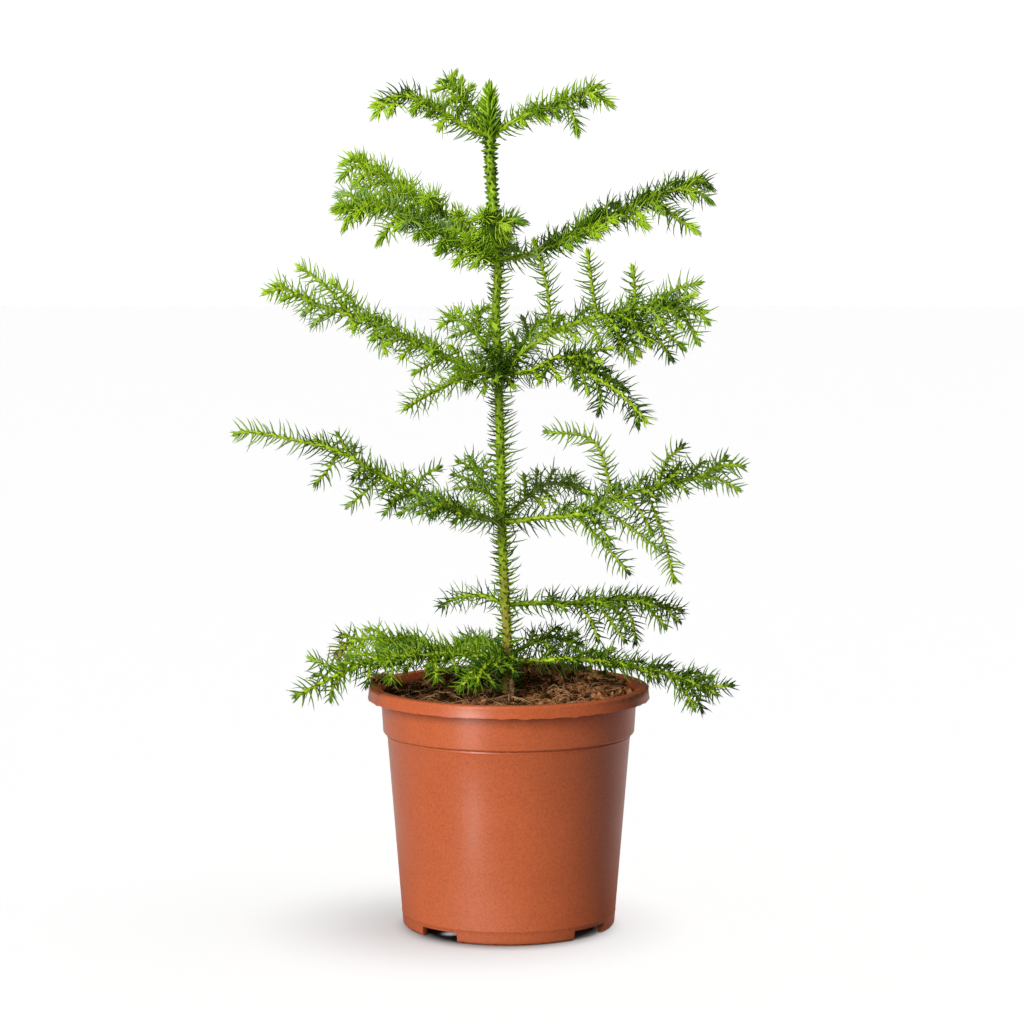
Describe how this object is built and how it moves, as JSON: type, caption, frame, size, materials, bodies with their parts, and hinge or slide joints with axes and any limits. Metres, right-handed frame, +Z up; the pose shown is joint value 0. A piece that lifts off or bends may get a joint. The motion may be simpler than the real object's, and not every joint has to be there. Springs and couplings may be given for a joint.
{
  "type": "potted norfolk island pine",
  "caption": "Young Norfolk Island pine in a terracotta-coloured plastic nursery pot: thin straight trunk, open tiers of needled boughs over a notched-foot pot.",
  "frame": {"origin": "middle of the underside of the whole plant's box, level with the ring that the pot stands on", "axes": "+Z up along the trunk, +X to the right and +Y away as the picture shows the plant"},
  "size_m": [0.2472, 0.1528, 0.3926],
  "materials": {
    "pot": "satin",
    "soil": "matte",
    "trunk": "satin",
    "boughs": "satin",
    "needles": "satin"
  },
  "bodies": {
    "root": {"leader_foliage": "needles", "pot": "pot", "soil": "soil", "tier1_back_bough": "boughs", "tier1_back_foliage": "needles", "tier1_left_back_bough": "boughs", "tier1_left_back_foliage": "needles", "tier1_left_bough": "boughs", "tier1_left_foliage": "needles", "tier1_right_bough": "boughs", "tier1_right_foliage": "needles", "tier2_back_bough": "boughs", "tier2_back_foliage": "needles", "tier2_front_bough": "boughs", "tier2_front_foliage": "needles", "tier2_left_back_bough": "boughs", "tier2_left_back_foliage": "needles", "tier2_left_front_bough": "boughs", "tier2_left_front_foliage": "needles", "tier2_right_bough": "boughs", "tier2_right_foliage": "needles", "tier3_front_left_bough": "boughs", "tier3_front_left_foliage": "needles", "tier3_front_right_bough": "boughs", "tier3_front_right_foliage": "needles", "tier3_left_back_bough": "boughs", "tier3_left_back_foliage": "needles", "tier3_left_bough": "boughs", "tier3_left_foliage": "needles", "tier3_right_back_bough": "boughs", "tier3_right_back_foliage": "needles", "tier3_right_bough": "boughs", "tier3_right_foliage": "needles", "tier4_front_left_bough": "boughs", "tier4_front_left_foliage": "needles", "tier4_left_back_bough": "boughs", "tier4_left_back_foliage": "needles", "tier4_left_bough": "boughs", "tier4_left_foliage": "needles", "tier4_right_back_bough": "boughs", "tier4_right_back_foliage": "needles", "tier4_right_bough": "boughs", "tier4_right_foliage": "needles", "tier5_left_back_bough": "boughs", "tier5_left_back_foliage": "needles", "tier5_right_bough": "boughs", "tier5_right_foliage": "needles", "tier6_front_bough": "boughs", "tier6_front_foliage": "needles", "tier6_left_back_bough": "boughs", "tier6_left_back_foliage": "needles", "tier6_left_bough": "boughs", "tier6_left_foliage": "needles", "tier6_left_front_bough": "boughs", "tier6_left_front_foliage": "needles", "tier6_right_back_bough": "boughs", "tier6_right_back_foliage": "needles", "tier6_right_bough": "boughs", "tier6_right_foliage": "needles", "trunk": "trunk"}
  },
  "joints": []
}
